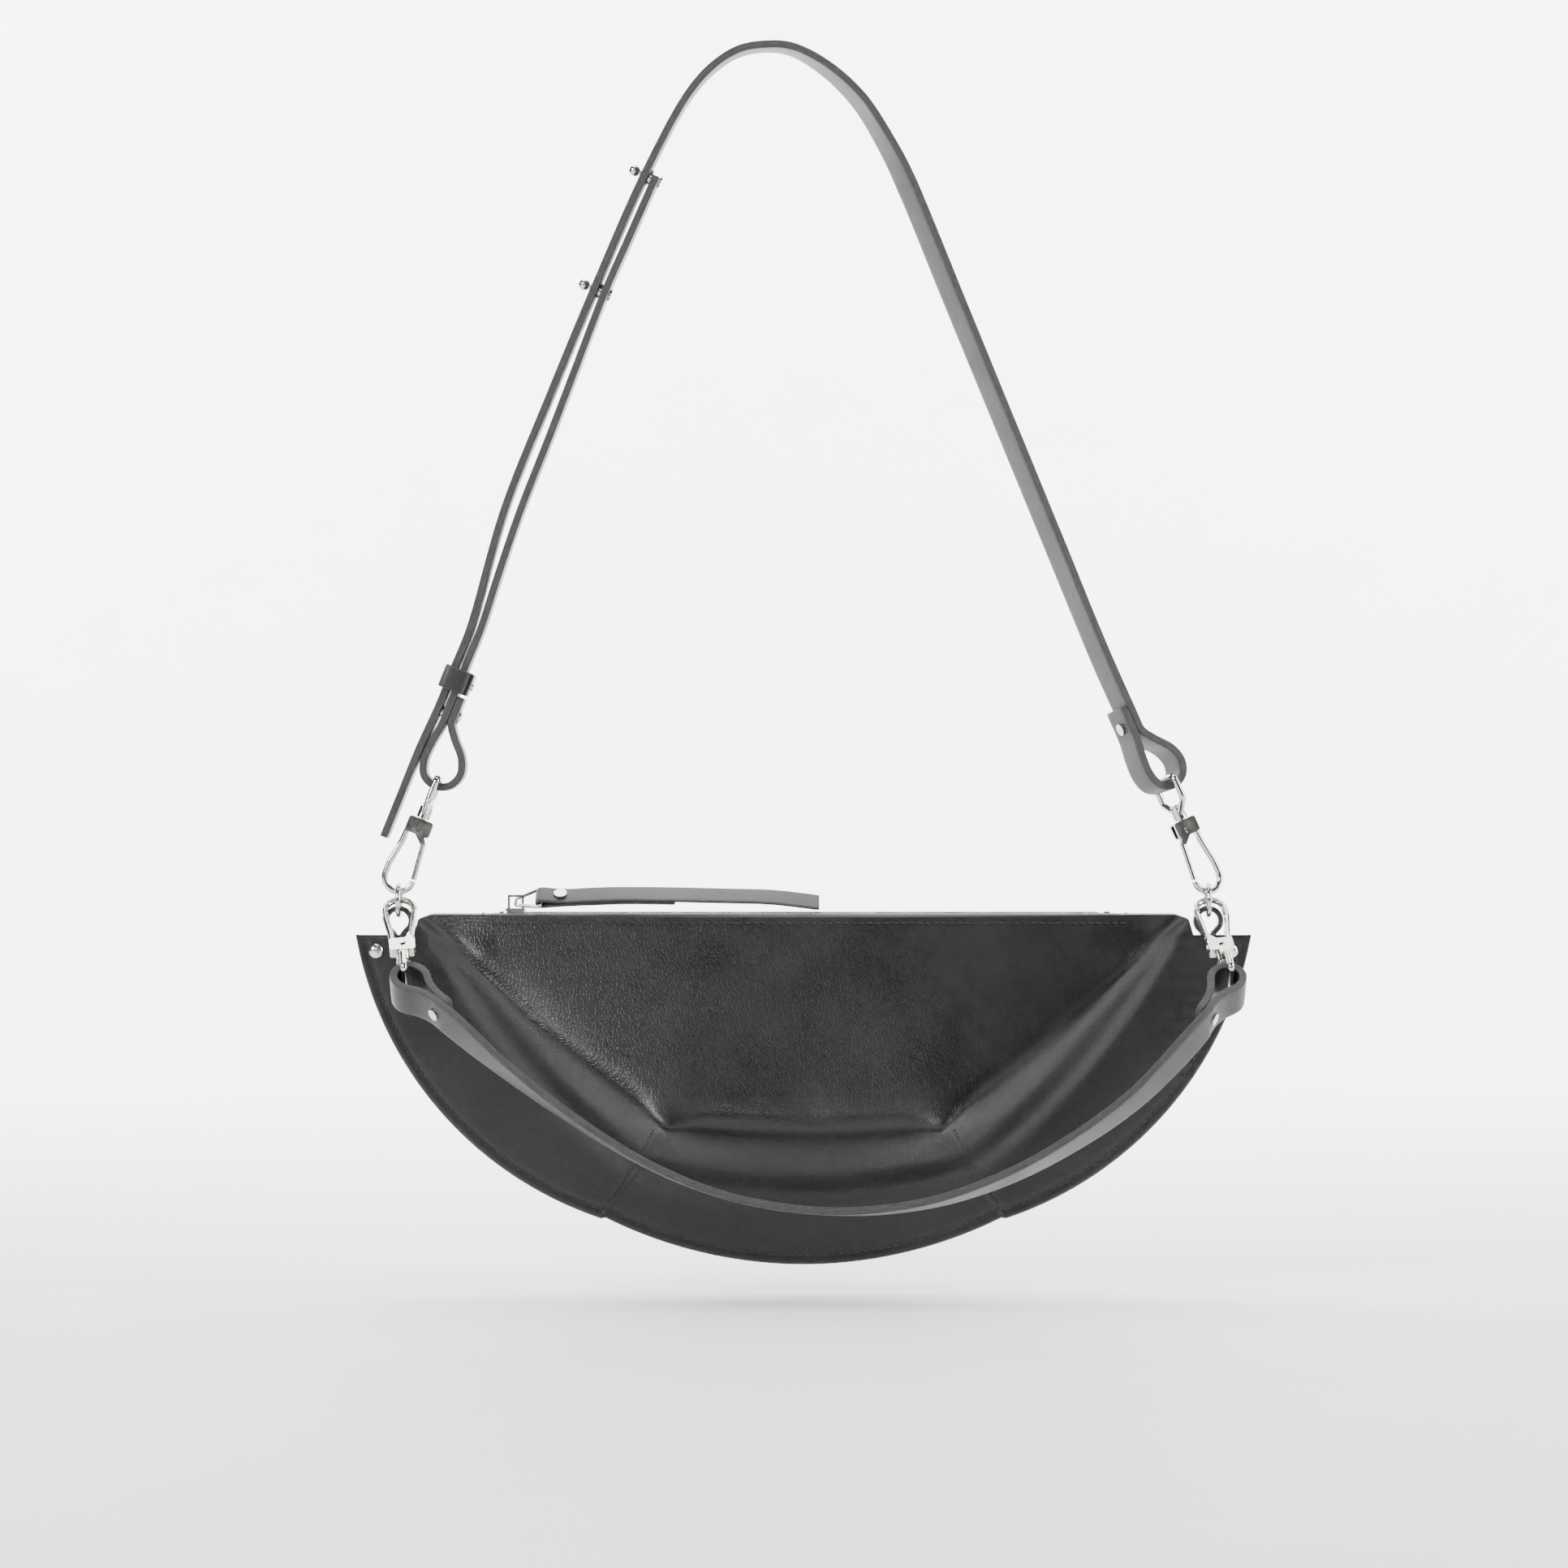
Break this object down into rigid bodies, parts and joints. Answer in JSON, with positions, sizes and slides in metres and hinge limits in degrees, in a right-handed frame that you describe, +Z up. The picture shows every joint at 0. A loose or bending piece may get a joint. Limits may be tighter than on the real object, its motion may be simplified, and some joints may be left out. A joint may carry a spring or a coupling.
{
  "type": "shoulder bag",
  "caption": "Half-moon shoulder bag in black leather with a zip top, a long adjustable strap and a short handle strap, hung on swivel snap hooks.",
  "frame": {"origin": "underside of the shoulder strap at its highest point, where the bag hangs", "axes": "+Z up, X along the zip, -Y out of the front, where the handle hangs"},
  "size_m": [0.3859, 0.1095, 0.5267],
  "materials": {
    "bag_leather": "satin, fine grain",
    "strap_leather": "satin face, raw grey edge",
    "zip_tape": "woven",
    "zip_metal": "polished",
    "nickel": "bright nickel plate",
    "spring_steel": "drawn wire"
  },
  "bodies": {
    "strap": {"main_strap": "strap_leather", "adjuster_strap": "strap_leather", "stud_upper": "nickel", "stud_lower": "nickel", "stud_screw_upper": "nickel", "stud_screw_lower": "nickel", "strap_rivet_left": "nickel", "strap_rivet_right": "nickel"},
    "keeper": {"keeper": "bag_leather", "keeper_rivet": "nickel"},
    "bag": {"front_panel": "bag_leather", "back_panel": "bag_leather", "ring_tab_left": "bag_leather", "ring_tab_right": "bag_leather", "corner_rivet_left": "nickel", "corner_rivet_right": "nickel", "zip_tape_front": "zip_tape", "zip_tape_back": "zip_tape", "zip_teeth_front": "zip_metal", "zip_teeth_back": "zip_metal", "zip_stops": "zip_metal"},
    "zip_slider": {"zip_slider": "nickel"},
    "zip_pull": {"pull_ring": "nickel", "pull_strip": "bag_leather", "pull_rivet": "nickel"},
    "ring_left": {"ring_left": "nickel"},
    "ring_right": {"ring_right": "nickel"},
    "handle": {"handle_strap": "strap_leather", "handle_rivet_left": "nickel", "handle_rivet_right": "nickel"},
    "eye_upper_left": {"eye_upper_left": "nickel"},
    "hook_upper_left": {"hook_upper_left": "nickel", "gate_pin_upper_left": "nickel", "gate_spring_upper_left": "spring_steel"},
    "gate_upper_left": {"gate_upper_left": "nickel"},
    "eye_upper_right": {"eye_upper_right": "nickel"},
    "hook_upper_right": {"hook_upper_right": "nickel", "gate_pin_upper_right": "nickel", "gate_spring_upper_right": "spring_steel"},
    "gate_upper_right": {"gate_upper_right": "nickel"},
    "eye_lower_left": {"eye_lower_left": "nickel"},
    "hook_lower_left": {"hook_lower_left": "nickel", "gate_pin_lower_left": "nickel", "gate_spring_lower_left": "spring_steel"},
    "gate_lower_left": {"gate_lower_left": "nickel"},
    "eye_lower_right": {"eye_lower_right": "nickel"},
    "hook_lower_right": {"hook_lower_right": "nickel", "gate_pin_lower_right": "nickel", "gate_spring_lower_right": "spring_steel"},
    "gate_lower_right": {"gate_lower_right": "nickel"}
  },
  "joints": [
    {"name": "keeper_slide", "type": "slide", "parent": "strap", "child": "keeper", "axis": [0.3746, 0, 0.9272], "range_m": [0, 0.014]},
    {"name": "bag_swing", "type": "hinge", "parent": "strap", "child": "bag", "pos_m": [0.01575, 0, -0.3665], "axis": [1, 0, 0], "range_deg": [-25, 25]},
    {"name": "ring_left_turn", "type": "hinge", "parent": "bag", "child": "ring_left", "pos_m": [-0.1587, 0, -0.3665], "axis": [1, 0, 0], "continuous": true},
    {"name": "ring_right_turn", "type": "hinge", "parent": "bag", "child": "ring_right", "pos_m": [0.1902, 0, -0.3665], "axis": [1, 0, 0], "continuous": true},
    {"name": "zip_slide", "type": "slide", "parent": "bag", "child": "zip_slider", "axis": [1, 0, 0], "range_m": [0, 0.235], "deforming": ["zip_teeth_front", "zip_teeth_back", "pull_strip"]},
    {"name": "pull_lift", "type": "hinge", "parent": "zip_slider", "child": "zip_pull", "pos_m": [-0.10825, 0, -0.3673], "axis": [0, -1, 0], "range_deg": [0, 90]},
    {"name": "eye_upper_left_rock", "type": "hinge", "parent": "strap", "child": "eye_upper_left", "pos_m": [-0.14151, 0, -0.31404], "axis": [0, 1, 0], "range_deg": [-1, 1]},
    {"name": "hook_upper_left_swivel", "type": "hinge", "parent": "eye_upper_left", "child": "hook_upper_left", "pos_m": [-0.14844, 0, -0.3312], "axis": [0.3746, 0, 0.9272], "range_deg": [-10, 10]},
    {"name": "gate_upper_left_open", "type": "hinge", "parent": "hook_upper_left", "child": "gate_upper_left", "pos_m": [-0.15031, 0, -0.33583], "axis": [0, 1, 0], "range_deg": [0, 18], "stiffness_Nm_per_rad": 0.02},
    {"name": "eye_upper_right_rock", "type": "hinge", "parent": "strap", "child": "eye_upper_right", "pos_m": [0.17114, 0.00095, -0.31475], "axis": [0.3716, -0.9135, 0.1654], "range_deg": [-1, 0.5]},
    {"name": "hook_upper_right_swivel", "type": "hinge", "parent": "eye_upper_right", "child": "hook_upper_right", "pos_m": [0.17867, 0.00095, -0.33165], "axis": [-0.4067, 0, 0.9135], "range_deg": [-10, 6]},
    {"name": "gate_upper_right_open", "type": "hinge", "parent": "hook_upper_right", "child": "gate_upper_right", "pos_m": [0.1807, 0.00095, -0.33622], "axis": [0.3716, -0.9135, 0.1654], "range_deg": [0, 18], "stiffness_Nm_per_rad": 0.02},
    {"name": "eye_lower_left_rock", "type": "hinge", "parent": "handle", "child": "eye_lower_left", "pos_m": [-0.15297, -0.03871, -0.40079], "axis": [0, -0.6641, 0.7476], "range_deg": [0, 0.5]},
    {"name": "hook_lower_left_swivel", "type": "hinge", "parent": "eye_lower_left", "child": "hook_lower_left", "pos_m": [-0.155, -0.02497, -0.38858], "axis": [0.11, -0.7431, -0.6601], "range_deg": [-7, 2]},
    {"name": "gate_lower_left_open", "type": "hinge", "parent": "hook_lower_left", "child": "gate_lower_left", "pos_m": [-0.15555, -0.02125, -0.38528], "axis": [0, -0.6641, 0.7476], "range_deg": [0, 7], "stiffness_Nm_per_rad": 0.02},
    {"name": "eye_lower_right_rock", "type": "hinge", "parent": "handle", "child": "eye_lower_right", "pos_m": [0.19593, -0.03871, -0.40079], "axis": [0, 0.6641, -0.7476], "range_deg": [-0.5, 0]},
    {"name": "hook_lower_right_swivel", "type": "hinge", "parent": "eye_lower_right", "child": "hook_lower_right", "pos_m": [0.1939, -0.02497, -0.38858], "axis": [0.11, -0.7431, -0.6601], "range_deg": [-7, 2]},
    {"name": "gate_lower_right_open", "type": "hinge", "parent": "hook_lower_right", "child": "gate_lower_right", "pos_m": [0.19335, -0.02125, -0.38528], "axis": [0, 0.6641, -0.7476], "range_deg": [0, 7], "stiffness_Nm_per_rad": 0.02},
    {"name": "handle_swing", "type": "hinge", "parent": "bag", "child": "handle", "pos_m": [0.01575, 0, -0.3664], "axis": [-1, 0, 0], "range_deg": [0, 90]}
  ]
}
